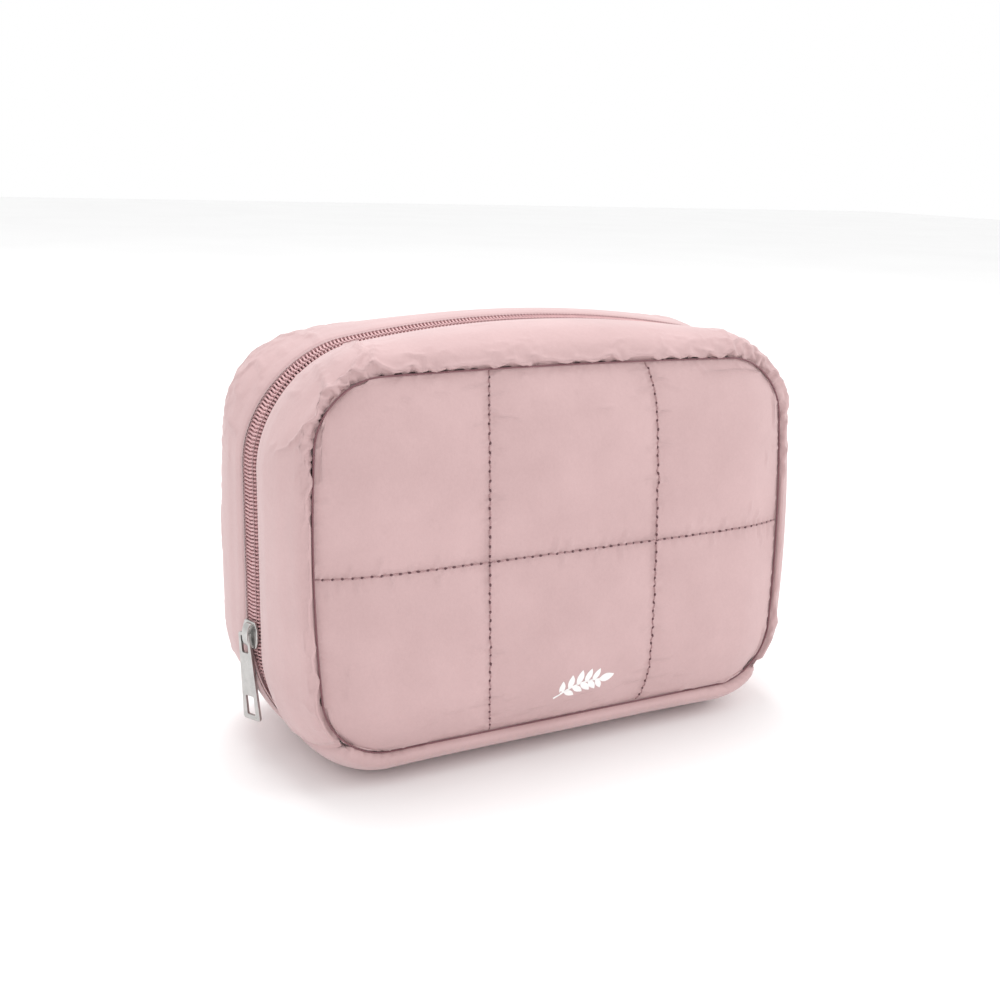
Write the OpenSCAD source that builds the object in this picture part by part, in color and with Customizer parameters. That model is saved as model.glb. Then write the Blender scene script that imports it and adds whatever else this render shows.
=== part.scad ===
// Quilted makeup bag: two padded half shells that open like a clamshell about a fold in
// the bottom, closed by a coil zip that runs up the left side, over the top and down the
// right side, with one slider and a hanging pull tab.
// +Z is up, the front faces -Y, and the origin is on the base, in the middle, below the zip.

/* [Body] */
// Width across the side walls, at the zip
bag_w = 232; // [190:1:280]
// Height of the side walls, at the zip, below the arch of the top
wall_h = 156; // [125:1:190]
// Rise of the arched top at the zip
top_rise = 15; // [6:1:20]
// Depth between the two panel seams, half way up
bag_d = 82; // [64:1:100]
// How much closer to the zip each panel seam stands at its top than half way up
lean = 5; // [0:0.5:8]
// Radius of the upper corners at the zip
top_corner_r = 38; // [28:1:42]
// Radius of the lower corners at the zip
bottom_corner_r = 44; // [30:1:46]

/* [Panels] */
// Distance from a side wall to the panel seam, at the panel's corners
seam_inset = 15.3; // [12:0.1:18]
// Height of the panel seam above the base, at the panel's corners
seam_base_h = 14.5; // [11:0.1:17]
// Radius of the panel's corners
seam_corner_r = 24; // [16:1:28]
// How far the panel's sides bow out between its corners
seam_bow = 4; // [0:0.5:6]
// Quilted cells across a panel
cells_across = 3; // [2:1:4]
// Quilted cells up a panel
cells_up = 2; // [2:1:3]
// How far the whole panel crowns out at its middle
crown = 7.5; // [3:0.5:9]
// How far each quilted cell puffs out over its stitching
cell_puff = 3.5; // [1:0.5:5]

/* [Layers] */
// Thickness of a panel at its stitching
stitched_t = 2.6; // [2:0.1:4]
// Share of the wall that is the outer cover
cover_share = 0.12; // [0.08:0.01:0.2]
// Share of the wall that is the lining
lining_share = 0.12; // [0.08:0.01:0.2]
// Width of the raised quilting thread
thread_w = 0.8; // [0.5:0.1:1.2]

/* [Zip] */
// Distance from the middle of the zip to the padded edge beside it
valley_w = 6; // [5.5:0.1:8]
// Gap between the middle of the zip and each row of coil
coil_gap = 1.1; // [1:0.05:1.4]
// Width of each row of coil
coil_w = 2.1; // [1.8:0.1:2.4]
// Height of the coil above its tape
coil_h = 2; // [1.6:0.1:2.4]
// Thickness of the zip tape
tape_t = 0.7; // [0.5:0.1:0.9]
// Width of each zip tape
tape_w = 11; // [9:0.5:12]

/* [Slider] */
// Height of the slider's middle above the base, with the zip closed
slider_z = 51; // [47:1:60]
// Length of the slider's body along the zip
slider_l = 11; // [9:0.5:13]
// Width of the slider's outer plate
slider_w = 9; // [8:0.1:9.6]
// Thickness of the slider's plates
plate_t = 1.1; // [0.9:0.1:1.4]
// Length of the pull tab below its pivot
tab_l = 36; // [24:1:38]
// Width of the pull tab at its lower end
tab_w = 9.6; // [7:0.1:9.8]
// Width of the pull tab at the pivot
tab_top_w = 6.6; // [6:0.1:7.5]
// Thickness of the pull tab
tab_t = 1.6; // [1.2:0.1:1.8]
// Angle by which the tab hangs in towards the bag
tab_lean = 3.5; // [0:0.5:3.5]

/* [Hidden] */

// Colours
nylon_pink = [0.86, 0.73, 0.72];
wadding_white = [0.95, 0.94, 0.93];
lining_pink = [0.80, 0.66, 0.68];
thread_mauve = [0.50, 0.36, 0.38];
zip_pink = [0.72, 0.50, 0.53];
satin_silver = [0.80, 0.80, 0.79];

// Clearances
rear_fold = -0.3;      // from the middle plane to the rear half of the bottom: it just passes it
front_fold = 0.7;      // from the middle plane to the front half of the bottom
ply_gap = 0.02;        // share of the wall left between two layers
rim_gap = 1.2;         // between a panel and the gusset round it
mitre_gap = 1;         // degrees of corner left open at the bottom seams
thread_lift = 0.2;     // from the cover to the thread above it
slider_gap = 0.35;     // between the zip and each plate of the slider
post_gap = 0.3;        // between the coils and the slider's post

// Outlines. A station is [x, z, outward x, outward z].
corner_steps = 6;
half_corner_steps = 3;
side_steps = 4;
top_steps = 8;
bottom_steps = 5;

function mix(a, b, t) = a + (b - a) * t;

function corner(cx, cz, r, from, to, steps) = [
    for (i = [0:steps])
        let (a = mix(from, to, i / steps)) [cx + r * cos(a), cz + r * sin(a), cos(a), sin(a)]
];

// Up the left side, over the top and down the right side, between the two bottom seams
function side_path(hw, zb, zt, rb, rt) = concat(
    corner(-hw + rb, zb + rb, rb, 225, 180, half_corner_steps),
    [for (i = [1:side_steps - 1]) [-hw, mix(zb + rb, zt - rt, i / side_steps), -1, 0]],
    corner(-hw + rt, zt - rt, rt, 180, 90, corner_steps),
    [for (i = [1:top_steps - 1]) [mix(-hw + rt, hw - rt, i / top_steps), zt, 0, 1]],
    corner(hw - rt, zt - rt, rt, 90, 0, corner_steps),
    [for (i = [1:side_steps - 1]) [hw, mix(zt - rt, zb + rb, i / side_steps), 1, 0]],
    corner(hw - rb, zb + rb, rb, 0, -45, half_corner_steps)
);

// Along the bottom, from the right bottom seam to the left one
function bottom_path(hw, zb, rb) = concat(
    corner(hw - rb, zb + rb, rb, -45 - mitre_gap, -90, half_corner_steps),
    [for (i = [1:bottom_steps - 1]) [mix(hw - rb, -hw + rb, i / bottom_steps), zb, 0, -1]],
    corner(-hw + rb, zb + rb, rb, 270, 225 + mitre_gap, half_corner_steps)
);

// Bows an outline out at its sides and arches its top
function shaped(path, hw, zb, zt, bow, rise) = [
    for (p = path)
        let (
            v = (p[1] - (zb + zt) / 2) / ((zt - zb) / 2),
            x = p[0] + bow * (1 - v * v) * sign(p[0]) * min(1, abs(p[0]) / (hw / 2)),
            z = p[1] + rise * (1 - pow(p[0] / hw, 2)) * max(v, 0)
        ) [x, z, p[2], p[3]]
];

zip_hw = bag_w / 2;
seam_hw = zip_hw - seam_inset;
seam_zb = seam_base_h;
seam_zt = wall_h;
seam_zm = (seam_zb + seam_zt) / 2;
seam_hh = (seam_zt - seam_zb) / 2;
seam_rise = top_rise / 10;

zip_side = shaped(side_path(zip_hw, 0, wall_h, bottom_corner_r, top_corner_r),
    zip_hw, 0, wall_h, 0, top_rise);
zip_bottom = bottom_path(zip_hw, 0, bottom_corner_r);
seam_side = shaped(side_path(seam_hw, seam_zb, seam_zt, seam_corner_r, seam_corner_r),
    seam_hw, seam_zb, seam_zt, seam_bow, seam_rise);
seam_bottom = shaped(bottom_path(seam_hw, seam_zb, seam_corner_r),
    seam_hw, seam_zb, seam_zt, seam_bow, seam_rise);

// Distance from the zip to the panel seam, at a height
function half_depth(z) = bag_d / 2 - lean * (z - seam_zm) / seam_hh;

// Wall profiles from the zip's edge to the panel seam: [share of the depth, share of the
// way from the zip outline to the seam outline, distance outward]
wall_outside = [
    [0, 0, 0], [0.10, 0, 1], [0.40, 0.2, 4.3], [0.68, 0.5, 6.6],
    [0.90, 0.8, 7], [1.05, 1, 5], [1.10, 1, 2.2], [1, 1, 0]
];
wall_inside = [
    [0, 0, -3.6], [0.10, 0, -5], [0.36, 0.2, -3.5], [0.60, 0.5, -1.1],
    [0.74, 0.8, 0.9], [0.81, 1, 1.9], [0.85, 1, 0.9], [0.88, 1, -0.3]
];

function wall_corner(s, zip_at, seam_at, edge) =
    let (
        x = mix(zip_at[0], seam_at[0], s[1]) + s[2] * seam_at[2],
        z = mix(zip_at[1], seam_at[1], s[1]) + s[2] * seam_at[3],
        y = mix(edge, half_depth(seam_at[1]), s[0])
    ) [x, -y, max(z, 0)];

// The points of one surface of the wall, at a share of its thickness
function wall_surface(zips, seams, edge, share) = [
    for (i = [0:len(zips) - 1]) [
        for (j = [0:len(wall_outside) - 1])
            mix(wall_corner(wall_outside[j], zips[i], seams[i], edge),
                wall_corner(wall_inside[j], zips[i], seams[i], edge), share)
    ]
];

// The points of a surface that follows the zip: [distance from the middle, distance outward]
function zip_surface(stations, profile) = [
    for (p = stations) [for (s = profile) [p[0] + s[1] * p[2], -s[0], p[1] + s[1] * p[3]]]
];

// A closed solid between two surfaces, each a grid of rows of points
function flat_list(rows) = [for (r = rows) each r];

module between(front, back) {
    rows = len(front);
    cols = len(front[0]);
    n = rows * cols;
    function quad(a, b, c, d) = [[a, c, b], [a, d, c]];
    faces = concat(
        [for (i = [0:rows - 2]) for (j = [0:cols - 2])
            each quad(i * cols + j, i * cols + j + 1, (i + 1) * cols + j + 1, (i + 1) * cols + j)],
        [for (i = [0:rows - 2]) for (j = [0:cols - 2])
            each quad(n + i * cols + j, n + (i + 1) * cols + j,
                n + (i + 1) * cols + j + 1, n + i * cols + j + 1)],
        [for (i = [0:rows - 2])
            each quad(i * cols, (i + 1) * cols, n + (i + 1) * cols, n + i * cols)],
        [for (i = [0:rows - 2])
            each quad(i * cols + cols - 1, n + i * cols + cols - 1,
                n + (i + 1) * cols + cols - 1, (i + 1) * cols + cols - 1)],
        [for (j = [0:cols - 2]) each quad(j, n + j, n + j + 1, j + 1)],
        [for (j = [0:cols - 2])
            each quad((rows - 1) * cols + j, (rows - 1) * cols + j + 1,
                n + (rows - 1) * cols + j + 1, n + (rows - 1) * cols + j)]
    );
    polyhedron(points = concat(flat_list(front), flat_list(back)), faces = faces, convexity = 8);
}

module gusset_layer(from, to) {
    between(wall_surface(zip_side, seam_side, valley_w, from),
        wall_surface(zip_side, seam_side, valley_w, to));
}

module bottom_layer(edge, from, to) {
    between(wall_surface(zip_bottom, seam_bottom, edge, from),
        wall_surface(zip_bottom, seam_bottom, edge, to));
}

// Panels. u and v run from -1 to 1 across and up the panel.
steps_per_cell = 4;
panel_cols = cells_across * steps_per_cell;
panel_rows = cells_up * steps_per_cell;
corner_cut = seam_corner_r * (1 - sqrt(0.5));
corner_power = 6;
crown_power = 4;

function puff(u, v) =
    cell_puff * pow(abs(sin(90 * cells_across * (u + 1)) * sin(90 * cells_up * (v + 1))), 0.6);

function dome(u, v) = crown * (1 - pow(u, crown_power)) * (1 - pow(v, crown_power));

// A panel point: depth 0 is the cover's face, 1 is the lining's face
function panel_point(u, v, depth) =
    let (
        hw = seam_hw - rim_gap,
        hh = seam_hh - rim_gap,
        x = hw * u - corner_cut * u * pow(v, corner_power) + seam_bow * u * (1 - v * v),
        z = seam_zm + hh * v - corner_cut * v * pow(u, corner_power),
        y = half_depth(z) + dome(u, v) + (1 - depth) * puff(u, v) - depth * stitched_t
    ) [x, -y, z];

function panel_surface(depth) = [
    for (i = [0:panel_rows]) [
        for (j = [0:panel_cols])
            panel_point(2 * j / panel_cols - 1, 2 * i / panel_rows - 1, depth)
    ]
];

module panel_layer(from, to) {
    between(panel_surface(from), panel_surface(to));
}

// One raised thread along a stitching line, given as panel coordinates
module thread(line) {
    across = line[0][0] == line[1][0] ? [thread_w / 2, 0, 0] : [0, 0, thread_w / 2];
    base = [for (p = line) panel_point(p[0], p[1], 0) - [0, thread_lift, 0]];
    top = [for (p = base) p - [0, thread_w, 0]];
    flip = line[0][0] == line[1][0] ? 1 : -1;
    between([for (p = top) [p - flip * across, p + flip * across]],
        [for (p = base) [p - flip * across, p + flip * across]]);
}

module quilt_stitching() {
    rim = 0.97;
    cross_gap = 0.03;
    columns = [for (i = [1:cells_across - 1]) 2 * i / cells_across - 1];
    rows = [for (i = [1:cells_up - 1]) 2 * i / cells_up - 1];
    for (u = columns)
        thread([for (i = [0:panel_rows]) [u, rim * (2 * i / panel_rows - 1)]]);
    for (v = rows)
        for (c = [0:cells_across - 1])
            thread([
                for (i = [0:steps_per_cell])
                    let (
                        u = 2 * (c + i / steps_per_cell) / cells_across - 1,
                        inward = i == 0 ? cross_gap : i == steps_per_cell ? -cross_gap : 0
                    ) [u + inward, v]
            ]);
}

// Zip tapes and coils, with the coil's crest on the zip outline
tape_edge = valley_w - 1.4;
tape_bend = valley_w - 0.4;
tape_sink = 4.3;
tape_profile = [
    [coil_gap - 0.1, -coil_h - 0.1], [tape_edge, -coil_h - 0.1],
    [tape_bend, -coil_h - 1.9], [coil_gap + tape_w, -coil_h - tape_sink]
];

module zip_tape() {
    under = [for (p = tape_profile) [p[0] - (p[0] < tape_edge ? 0 : 0.25), p[1] - tape_t]];
    between(zip_surface(zip_side, tape_profile), zip_surface(zip_side, under));
}

module zip_coil() {
    crest = [[coil_gap, -0.3], [coil_gap + coil_w / 2, 0], [coil_gap + coil_w, -0.4]];
    foot = [for (p = crest) [p[0], -coil_h]];
    between(zip_surface(zip_side, crest), zip_surface(zip_side, foot));
}

// Binding that covers the raw edges of the panel seam inside the bag
binding_w = 6;
binding_t = 1;
binding_in = 1.5;

module seam_binding() {
    lift = stitched_t + 1.4;
    function ring(y_in, n) = [
        for (p = concat(seam_side, seam_bottom))
            [p[0] + n * p[2], -half_depth(p[1]) + y_in, p[1] + n * p[3]]
    ];
    a = ring(lift, -binding_in);
    b = ring(lift + binding_w, -binding_in);
    c = ring(lift, -binding_in - binding_t);
    d = ring(lift + binding_w, -binding_in - binding_t);
    n = len(a);
    function quad(a, b, c, d) = [[a, b, c], [a, c, d]];
    faces = [
        for (i = [0:n - 1])
            let (k = (i + 1) % n)
                each concat(
                    quad(i, n + i, n + k, k),
                    quad(2 * n + i, 2 * n + k, 3 * n + k, 3 * n + i),
                    quad(i, k, 2 * n + k, 2 * n + i),
                    quad(n + i, 3 * n + i, 3 * n + k, n + k))
    ];
    polyhedron(points = concat(a, b, c, d), faces = faces, convexity = 8);
}

// Slider. It is drawn along +Z with its outer side towards +X, then turned to face -X.
bridge_w = 2.2;
bridge_l = 7;
bridge_t = 1.1;
pivot_out = slider_gap + plate_t + 1.95;
bar_r = tab_t / 2;

module slider_body() color(satin_silver) {
    outer_x = slider_gap;
    inner_x = -coil_h - 0.1 - tape_t - slider_gap;
    inner_w = 2 * (tape_edge - 0.7);
    bridge_out = pivot_out + bar_r + 0.3;
    translate([-zip_hw, 0, slider_z]) mirror([1, 0, 0]) {
        union() {
            translate([outer_x, -slider_w / 2, -slider_l / 2]) cube([plate_t, slider_w, slider_l]);
            translate([inner_x - plate_t, -inner_w / 2, -slider_l / 2])
                cube([plate_t, inner_w, slider_l]);
            translate([inner_x - plate_t / 2, -(coil_gap - post_gap), 0])
                cube([outer_x - inner_x + plate_t, 2 * (coil_gap - post_gap), slider_l / 2]);
            difference() {
                translate([outer_x + plate_t / 2, -bridge_w / 2, -bridge_l / 2])
                    cube([bridge_out + bridge_t - outer_x - plate_t / 2, bridge_w, bridge_l]);
                translate([outer_x + plate_t, -bridge_w, -bridge_l / 2 + bridge_t])
                    cube([bridge_out - outer_x - plate_t, 2 * bridge_w, bridge_l - 2 * bridge_t]);
            }
        }
    }
}

// Pull tab: a tapered plate that hangs from a round bar through the slider's bridge
slot_l = 7.5;
slot_w = 3.4;
window_l = 8;
window_w = 4.6;
window_up = 2.2;
end_r = 1.2;

module tab_outline() {
    difference() {
        union() {
            polygon([
                [-tab_top_w / 2, 0], [tab_top_w / 2, 0],
                [tab_w / 2, -tab_l + end_r], [-tab_w / 2, -tab_l + end_r]
            ]);
            for (s = [-1, 1])
                translate([s * (tab_w / 2 - end_r), -tab_l + end_r]) circle(r = end_r, $fn = 32);
            translate([-tab_w / 2 + end_r, -tab_l]) square([tab_w - 2 * end_r, end_r + 0.01]);
        }
        translate([-slot_w / 2, -slot_l]) square([slot_w, slot_l + 1]);
        translate([-window_w / 2, -tab_l + window_up]) square([window_w, window_l]);
    }
}

module pull_tab() color(satin_silver)
    translate([-zip_hw - pivot_out, 0, slider_z])
        rotate([0, -tab_lean, 0])
            union() {
                translate([-tab_t / 2, 0, 0])
                    rotate([90, 0, 90]) linear_extrude(tab_t) tab_outline();
                rotate([90, 0, 0]) cylinder(r = bar_r, h = tab_top_w, center = true, $fn = 32);
            }

// The rear half is the front half turned about the middle plane
module rear() mirror([0, 1, 0]) children();

inner_face = 1 - lining_share;
wadding_from = cover_share + ply_gap;
wadding_to = inner_face - ply_gap;

module panel_cover() color(nylon_pink) panel_layer(0, cover_share);
module panel_wadding() color(wadding_white) panel_layer(wadding_from, wadding_to);
module panel_lining() color(lining_pink) panel_layer(inner_face, 1);
module stitching() color(thread_mauve) quilt_stitching();
module gusset_cover() color(nylon_pink) gusset_layer(0, cover_share);
module gusset_wadding() color(wadding_white) gusset_layer(wadding_from, wadding_to);
module gusset_lining() color(lining_pink) gusset_layer(inner_face, 1);
module bottom_cover(edge) color(nylon_pink) bottom_layer(edge, 0, cover_share);
module bottom_wadding(edge) color(wadding_white) bottom_layer(edge, wadding_from, wadding_to);
module bottom_lining(edge) color(lining_pink) bottom_layer(edge, inner_face, 1);
module tape() color(zip_pink) zip_tape();
module coil() color(zip_pink) zip_coil();
module binding() color(lining_pink) seam_binding();

panel_cover();  // front_panel_cover
panel_wadding();  // front_panel_wadding
panel_lining();  // front_panel_lining
stitching();  // front_quilt_stitching
gusset_cover();  // front_gusset_cover
gusset_wadding();  // front_gusset_wadding
gusset_lining();  // front_gusset_lining
bottom_cover(front_fold);  // front_bottom_cover
bottom_wadding(front_fold);  // front_bottom_wadding
bottom_lining(front_fold);  // front_bottom_lining
tape();  // front_zip_tape
coil();  // front_zip_coil
binding();  // front_seam_binding
rear() panel_cover();  // rear_panel_cover
rear() panel_wadding();  // rear_panel_wadding
rear() panel_lining();  // rear_panel_lining
rear() stitching();  // rear_quilt_stitching
rear() gusset_cover();  // rear_gusset_cover
rear() gusset_wadding();  // rear_gusset_wadding
rear() gusset_lining();  // rear_gusset_lining
rear() bottom_cover(rear_fold);  // rear_bottom_cover
rear() bottom_wadding(rear_fold);  // rear_bottom_wadding
rear() bottom_lining(rear_fold);  // rear_bottom_lining
rear() tape();  // rear_zip_tape
rear() coil();  // rear_zip_coil
rear() binding();  // rear_seam_binding
slider_body();
pull_tab();
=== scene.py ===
"""Quilted makeup bag: two padded half shells, a coil zip, a metal slider and a pull tab.

Shapes are worked out in millimetres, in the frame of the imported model, and turned into metres
when a mesh is made. The cloth is draped by a small position-based solver, drape(), on grids of
points. +Z is up and the front faces -Y.
"""
import math

import bmesh
import bpy
import numpy as np
from mathutils import Matrix, Vector
from mathutils.bvhtree import BVHTree


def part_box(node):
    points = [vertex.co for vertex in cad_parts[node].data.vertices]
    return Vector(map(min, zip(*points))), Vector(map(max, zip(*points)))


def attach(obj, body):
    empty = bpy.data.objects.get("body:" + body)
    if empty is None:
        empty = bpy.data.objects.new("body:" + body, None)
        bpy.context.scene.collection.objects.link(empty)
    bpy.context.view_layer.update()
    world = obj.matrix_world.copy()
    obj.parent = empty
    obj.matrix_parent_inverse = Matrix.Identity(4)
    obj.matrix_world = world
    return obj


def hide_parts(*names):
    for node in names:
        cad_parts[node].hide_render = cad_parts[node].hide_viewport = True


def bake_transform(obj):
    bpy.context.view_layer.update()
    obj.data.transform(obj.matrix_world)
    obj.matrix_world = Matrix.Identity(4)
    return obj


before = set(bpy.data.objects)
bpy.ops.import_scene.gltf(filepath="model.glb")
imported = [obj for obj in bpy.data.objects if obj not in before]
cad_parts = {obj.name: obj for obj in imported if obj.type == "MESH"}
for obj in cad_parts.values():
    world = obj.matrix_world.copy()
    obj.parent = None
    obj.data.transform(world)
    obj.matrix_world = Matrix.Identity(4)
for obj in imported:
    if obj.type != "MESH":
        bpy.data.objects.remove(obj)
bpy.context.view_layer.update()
MM = 0.001


def show(obj):
    """Puts an object in the scene."""
    bpy.context.scene.collection.objects.link(obj)


# ------------ camera

VIEW_AZIMUTH = math.radians(-27.28)
VIEW_ELEVATION = math.radians(16.04)
VIEW_ROLL = math.radians(1.92)
VIEW_DISTANCE = 489.5
VIEW_TARGET = Vector((-9.5, 0, 94.4))
VIEW_LENS = 41.9


def make_camera():
    """The main view: its direction, its roll about that direction and its distance in mm."""
    a, e, roll = VIEW_AZIMUTH, VIEW_ELEVATION, VIEW_ROLL
    back = Vector((math.sin(a) * math.cos(e), -math.cos(a) * math.cos(e), math.sin(e)))
    right = Vector((math.cos(a), math.sin(a), 0))
    up = back.cross(right)
    turned = right * math.cos(roll) + up * math.sin(roll)
    upright = up * math.cos(roll) - right * math.sin(roll)
    data = bpy.data.cameras.new("camera")
    data.lens = VIEW_LENS
    data.sensor_width = 36
    data.clip_start = 0.01
    camera = bpy.data.objects.new("camera", data)
    place = Matrix((turned, upright, back)).transposed().to_4x4()
    place.translation = (VIEW_TARGET + back * VIEW_DISTANCE) * MM
    camera.matrix_world = place
    show(camera)
    bpy.context.scene.camera = camera


make_camera()


# ------------ sizes

def box_mm(node):
    """Low and high corner of a piece of the model, in millimetres."""
    low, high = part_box(node)
    return np.array(low) / MM, np.array(high) / MM


COIL_BOX = box_mm("rear_zip_coil")
BINDING_BOX = box_mm("rear_seam_binding")
SLIDER_BOX = box_mm("slider_body")

# The zip's outline: half width, rise of the arched top, height without that rise, corner radii
ZIP_HW = COIL_BOX[1][0]
TOP_RISE = 15
WALL_H = COIL_BOX[1][2] - TOP_RISE
ZIP_TOP_R = 38
ZIP_BASE_R = 44

# The panel seam's outline: how far its sides bow out, how far inside it the binding lies,
# half width, base, top, corner radius, rise of its top, middle and half height
SEAM_BOW = 4
BINDING_IN = 1.5
SEAM_HW = BINDING_BOX[1][0] + BINDING_IN - SEAM_BOW
SEAM_BASE = BINDING_BOX[0][2] - BINDING_IN
SEAM_TOP = WALL_H
SEAM_R = 24
SEAM_RISE = TOP_RISE / 10
SEAM_MID = (SEAM_BASE + SEAM_TOP) / 2
SEAM_HH = (SEAM_TOP - SEAM_BASE) / 2

# Depth from the zip to the seam, how much of it the top loses, bulge of a whole panel, puff of
# one quilted cell, thickness of the padding, distance of the cloth's fold from the zip's middle
HALF_DEPTH = 41
LEAN = 5
CROWN = 7.5
CELL_PUFF = 4.6
PAD_T = 2.6
FOLD_Y = 5.2

# Grid steps: half a corner, a side between corners, the top or bottom between corners, from the
# zip to the seam, from a panel's corner to its upright quilting lines
N_HALF = 20
N_SIDE = 68
N_TOP = 112
N_ACROSS = 44
COLUMN_IN = 31
COLUMNS = (N_HALF + COLUMN_IN, N_HALF + N_TOP - COLUMN_IN)
ROW = N_HALF + N_SIDE // 2


# ------------ outlines

def mix(a, b, t):
    return a + (b - a) * t


def smooth_step(t):
    t = np.clip(t, 0, 1)
    return t * t * (3 - 2 * t)


def path_lengths(points):
    """Length along a path at each of its points."""
    return np.concatenate([[0], np.cumsum(np.linalg.norm(np.diff(points, axis=0), axis=1))])


def arc(cx, cz, r, start, end, steps):
    """Stations round a circle's arc, both ends included."""
    a = np.radians(np.linspace(start, end, steps + 1))
    return np.stack([cx + r * np.cos(a), cz + r * np.sin(a), np.cos(a), np.sin(a)], 1)


def straight(x0, z0, x1, z1, nx, nz, steps):
    """Stations strictly between the two ends."""
    t = np.linspace(0, 1, steps + 1)[1:-1]
    return np.stack([mix(x0, x1, t), mix(z0, z1, t), 0 * t + nx, 0 * t + nz], 1)


def side_path(hw, base, top, base_r, top_r):
    """Up the left side, over the top and down the right side. A station is x, z, outward x, z."""
    lo, hi = base + base_r, top - top_r
    return np.concatenate([
        arc(-hw + base_r, lo, base_r, 225, 180, N_HALF),
        straight(-hw, lo, -hw, hi, -1, 0, N_SIDE),
        arc(-hw + top_r, hi, top_r, 180, 90, 2 * N_HALF),
        straight(-hw + top_r, top, hw - top_r, top, 0, 1, N_TOP),
        arc(hw - top_r, hi, top_r, 90, 0, 2 * N_HALF),
        straight(hw, hi, hw, lo, 1, 0, N_SIDE),
        arc(hw - base_r, lo, base_r, 0, -45, N_HALF),
    ])


def base_path(hw, base, base_r):
    """Along the bottom, from the right bottom seam to the left one."""
    c = base + base_r
    return np.concatenate([
        arc(hw - base_r, c, base_r, -45, -90, N_HALF),
        straight(hw - base_r, base, -hw + base_r, base, 0, -1, N_TOP),
        arc(-hw + base_r, c, base_r, 270, 225, N_HALF),
    ])


def shaped(path, hw, base, top, bow, rise):
    """Bows an outline out at its sides and arches its top."""
    path = path.copy()
    v = (path[:, 1] - (base + top) / 2) / ((top - base) / 2)
    x = path[:, 0].copy()
    path[:, 0] += bow * (1 - v * v) * np.sign(x) * np.minimum(1, np.abs(x) / (hw / 2))
    path[:, 1] += rise * (1 - (x / hw) ** 2) * np.maximum(v, 0)
    return path


ZIP_SIDE = shaped(
    side_path(ZIP_HW, 0, WALL_H, ZIP_BASE_R, ZIP_TOP_R), ZIP_HW, 0, WALL_H, 0, TOP_RISE)
ZIP_BASE = base_path(ZIP_HW, 0, ZIP_BASE_R)
SEAM_SIDE = shaped(
    side_path(SEAM_HW, SEAM_BASE, SEAM_TOP, SEAM_R, SEAM_R),
    SEAM_HW, SEAM_BASE, SEAM_TOP, SEAM_BOW, SEAM_RISE)
SEAM_BASE_PATH = shaped(
    base_path(SEAM_HW, SEAM_BASE, SEAM_R), SEAM_HW, SEAM_BASE, SEAM_TOP, SEAM_BOW, SEAM_RISE)


def half_depth(z):
    """Distance of the panel seam from the zip's plane, at height z."""
    return HALF_DEPTH - LEAN * (z - SEAM_MID) / SEAM_HH


# ------------ wall profile

# From the zip's edge to the panel seam: share of the depth, share of the way from the zip
# outline to the seam outline, distance outward
OUTSIDE = [
    (0, 0, -0.8), (0.008, 0, -0.1), (0.045, 0, 0.45), (0.12, 0, 1.4), (0.26, 0.08, 3.0),
    (0.40, 0.2, 4.5), (0.68, 0.5, 6.8), (0.90, 0.8, 7.1), (1.01, 0.95, 5.6), (1.055, 1, 3.0),
    (1.045, 1, 1.1), (1, 1, 0),
]
INSIDE = [
    (0, 0, -1.7), (0.02, 0, -2.6), (0.05, 0, -3.9), (0.12, 0, -5.1), (0.36, 0.2, -3.5),
    (0.60, 0.5, -1.1), (0.74, 0.8, 0.9), (0.81, 1, 1.9), (0.85, 1, 0.9), (0.88, 1, -0.3),
]

# Where the padding's inner face and the lining's outer face lie, from outside to inside
PAD_SHARE = 0.86
LINING_SHARE = 0.9


def curve_through(points, steps, depth=HALF_DEPTH - FOLD_Y):
    """Points spaced evenly along a smooth curve through a wall profile's corners."""
    p = np.array(points, float)
    p = np.vstack([2 * p[0] - p[1], p, 2 * p[-1] - p[-2]])
    t = np.linspace(0, 1, 25)[:-1, None]
    fine = []
    for a, b, c, d in zip(p[:-3], p[1:-2], p[2:-1], p[3:]):
        fine.append(0.5 * (2 * b + (c - a) * t + (2 * a - 5 * b + 4 * c - d) * t ** 2
                           + (3 * b - a - 3 * c + d) * t ** 3))
    fine = np.vstack(fine + [p[-2][None]])
    length = path_lengths(fine * np.array([depth, 12, 1]))
    at = np.linspace(0, length[-1], steps + 1)
    return np.stack([np.interp(at, length, fine[:, k]) for k in range(3)], 1)


OUTSIDE_CURVE = curve_through(OUTSIDE, N_ACROSS)
INSIDE_CURVE = curve_through(INSIDE, N_ACROSS)


# How far the zip's face turns towards the front, how much fuller the rear roll beside it is and
# how much flatter the front one
ZIP_TURN = math.radians(17)
REAR_FULL = 3.6
FRONT_SLACK = 3.2


def turn_weight(stations):
    """1 on the two sides, less along the top and none at the ends of the walls."""
    n = len(stations)
    end = np.minimum(np.arange(n), n - 1 - np.arange(n))
    return mix(0.45, 1, stations[:, 2] ** 2) * smooth_step((end + 2) / 17)


def full_weight(stations):
    """1 on the left side, more at its top corner, none along the top and little on the right."""
    side = mix(0.25, 1, smooth_step(0.5 - stations[:, 2]))
    corner = np.maximum(4 * stations[:, 2] ** 2 * stations[:, 3], 0) * stations[:, 3]
    return side * (stations[:, 2] ** 2 + 0.9 * corner) * turn_weight(stations) ** 0.5


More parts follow.
